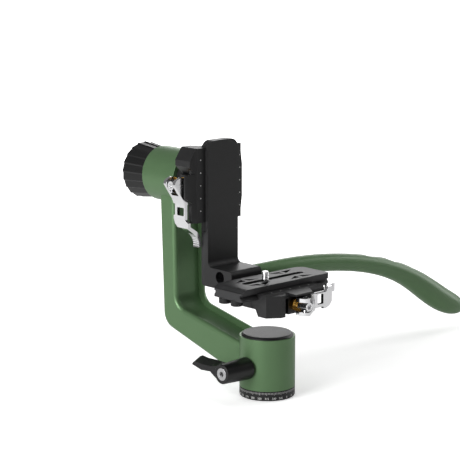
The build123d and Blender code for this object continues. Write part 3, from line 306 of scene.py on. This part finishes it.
# A dark disc on the floor of the lock screw's hex socket: painted shade in the recess.
socket_depth = 1.1 * MM
shade_share = 0.38         # the painted shade disc's radius as a share of the screw head's
lock_low, lock_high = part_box("pan_lock_screw")
socket_shade_centre = Vector(((lock_low.x + lock_high.x) / 2, lock_low.y + socket_depth,
                       (lock_low.z + lock_high.z) / 2))
dots("lock_socket_painted_shade", [socket_shade_centre], (0, -1, 0), "pan_lock",
     (lock_high.x - lock_low.x) / 2 * shade_share, looks["black_steel"])

# Rows of dots along both jaws of each clamp.
upright_low, upright_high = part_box("upright_clamp_body")
platform_low, platform_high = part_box("platform_clamp_body")
upright_middle = (upright_low.z + upright_high.z) / 2
platform_middle = (platform_low.y + platform_high.y) / 2
dot_reach = 24.6 * MM
dot_pitch = 11.85
rows = [row * dot_pitch * MM for row in (-2, -1, 0, 1, 2)]
for name, reach, body in (("upright_jaw_dots", -dot_reach, "upright_jaw"),
                          ("upright_body_dots", dot_reach, "tilt")):
    dots(name, [(upright_high.x, reach, upright_middle - row) for row in rows], (1, 0, 0), body)
for name, reach, body in (("platform_jaw_dots", dot_reach, "platform_jaw"),
                          ("platform_body_dots", -dot_reach, "cradle")):
    dots(name, [(reach, platform_middle + row, platform_high.z) for row in rows], (0, 0, 1), body)


# ------------------------------------------------------------------ camera screw
screw_low, screw_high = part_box("camera_screw")
screw_y = (screw_low.y + screw_high.y) / 2
around = 40
pitch = 1.27 * MM
crest = 3.175 * MM
root = 2.62 * MM
crest_flat = 1.35           # how much steeper than to its crest the thread's flank rises
lead_length = 0.6 * MM
thread_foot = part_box("camera_plate")[1].z + 0.3 * MM
thread_top = screw_high.z
thread_rings = 64


def ring_at(height, radii):
    """A ring of points about the screw's axis, with a radius for each."""
    return [(radius * cos(2 * pi * step / around), screw_y + radius * sin(2 * pi * step / around), height)
            for step, radius in enumerate(radii)]


def screw_piece(name, rings):
    """A piece of the camera screw from its rings of points, closed at both ends."""
    vertices = [point for ring in rings for point in ring]
    faces = []
    for ring in range(len(rings) - 1):
        for step in range(around):
            following = (step + 1) % around
            faces.append((ring * around + step, ring * around + following,
                          (ring + 1) * around + following, (ring + 1) * around + step))
    faces.append(tuple(reversed(range(around))))
    faces.append(tuple(range((len(rings) - 1) * around, len(rings) * around)))
    return piece_from(name, vertices, faces, looks["chrome"], "camera_screw")


def thread_radius(height, step):
    """The thread's radius at a height and a step round the axis, tapered at its top."""
    turn = (height - thread_foot) / pitch - step / around
    wave = abs((turn % 1.0) * 2 - 1)
    lead = crest - max(0.0, height - (thread_top - lead_length))
    return min(root + (crest - root) * min(1.0, crest_flat * wave), lead)


heights = [thread_foot + (thread_top - thread_foot) * ring / thread_rings for ring in range(thread_rings + 1)]
thread = screw_piece("camera_screw_thread", [
    ring_at(height, [thread_radius(height, step) for step in range(around)]) for height in heights])
for face in thread.data.polygons:
    face.use_smooth = len(face.vertices) == 4
shank_profile = [(radius * MM, screw_low.z + height * MM) for radius, height in (
    (0.4, 0.9), (4.9, 0.0), (5.2, 0.3), (5.2, 1.6), (5.0, 1.8), (2.5, 1.8))]
shank_profile.append((2.5 * MM, thread_foot))
screw_piece("camera_screw_shank", [ring_at(height, [radius] * around) for radius, height in shank_profile])
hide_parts("camera_screw")


# ------------------------------------------------------------------ stage
def lamp(name, place, aim, width, power, height=None):
    """A square lamp, or an upright rectangle where a height is given."""
    data = bpy.data.lights.new(name, "AREA")
    data.energy = power
    data.size = width
    if height:
        data.shape = "RECTANGLE"
        data.size_y = height
    light = bpy.data.objects.new(name, data)
    light.location = place
    light.rotation_euler = (Vector(aim) - Vector(place)).to_track_quat("-Z", "Y").to_euler()
    bpy.context.scene.collection.objects.link(light)


floor_half = 6
mesh = bpy.data.meshes.new("floor")
mesh.from_pydata([(x * floor_half, y * floor_half, 0) for x, y in ((-1, -1), (1, -1), (1, 1), (-1, 1))],
                 [], [(0, 1, 2, 3)])
floor = bpy.data.objects.new("floor", mesh)
floor.location.z = -0.4 * MM
bpy.context.scene.collection.objects.link(floor)
pale, tree, surface = shader("pale_floor")
surface.inputs["Base Color"].default_value = (0.9, 0.9, 0.9, 1)
surface.inputs["Roughness"].default_value = 0.9
# For the camera alone the floor brightens away from the object, so that it ends in plain white.
camera_ray = add_node(tree, "LightPath").outputs["Is Camera Ray"]
spot = add_node(tree, "TexCoord").outputs["Object"]
away = add_node(tree, "VectorMath", sources={0: spot}, operation="LENGTH").outputs["Value"]
fade = add_node(tree, "MapRange", {"From Min": 0.25, "From Max": 1.3, "To Min": 0.45, "To Max": 1.2},
                {"Value": away}).outputs["Result"]
lift = add_node(tree, "Math", sources={0: camera_ray, 1: fade}, operation="MULTIPLY")
surface.inputs["Emission Color"].default_value = (1, 1, 1, 1)
tree.links.new(lift.outputs["Value"], surface.inputs["Emission Strength"])
dress(floor, pale)

# The camera sees a white world, and everything else a dim one.
world = bpy.data.worlds.new("studio")
bpy.context.scene.world = world
world.use_nodes = True
tree = world.node_tree
dim = tree.nodes["Background"]
dim.inputs["Color"].default_value = (1, 1, 1, 1)
dim.inputs["Strength"].default_value = 0.2
bright = add_node(tree, "Background", {"Color": (1, 1, 1, 1), "Strength": 1.0}).outputs[0]
camera_ray = add_node(tree, "LightPath").outputs["Is Camera Ray"]
choose = add_node(tree, "MixShader", sources={0: camera_ray, 1: dim.outputs[0], 2: bright})
tree.links.new(choose.outputs[0], tree.nodes["World Output"].inputs["Surface"])

centre = Vector((-0.05, 0.0, 0.12))
camera_side = -44.3         # the camera's direction from the object, in degrees from X


def around_object(azimuth, elevation, distance):
    """A place seen from the object at an azimuth measured from the camera's, to the left when negative."""
    turn = radians(camera_side + azimuth)
    lift = radians(elevation)
    return centre + distance * Vector((cos(turn) * cos(lift), sin(turn) * cos(lift), sin(lift)))


lamp("key", around_object(-44, 22, 1.9), centre, 1.1, 36, 1.3)
lamp("fill", around_object(125, 15, 1.9), centre, 0.5, 9, 1.4)
lamp("back", around_object(178, 13, 2.1), centre, 2.4, 13, 0.7)
lamp("top", centre + Vector((0, 0, 1.7)), centre, 1.2, 7)

camera = bpy.data.objects.new("camera", bpy.data.cameras.new("camera"))
camera.data.lens = 144.85
camera.data.sensor_width = 36
camera_turn = radians(46.89)
camera_tilt = radians(11.19)
camera.location = (1.1755, -1.1472, 0.4784)
camera.rotation_euler = Vector(
    (-sin(camera_turn) * cos(camera_tilt), cos(camera_turn) * cos(camera_tilt), -sin(camera_tilt))
).to_track_quat("-Z", "Y").to_euler()
bpy.context.scene.collection.objects.link(camera)
bpy.context.scene.camera = camera
bpy.context.scene.view_settings.view_transform = "Standard"
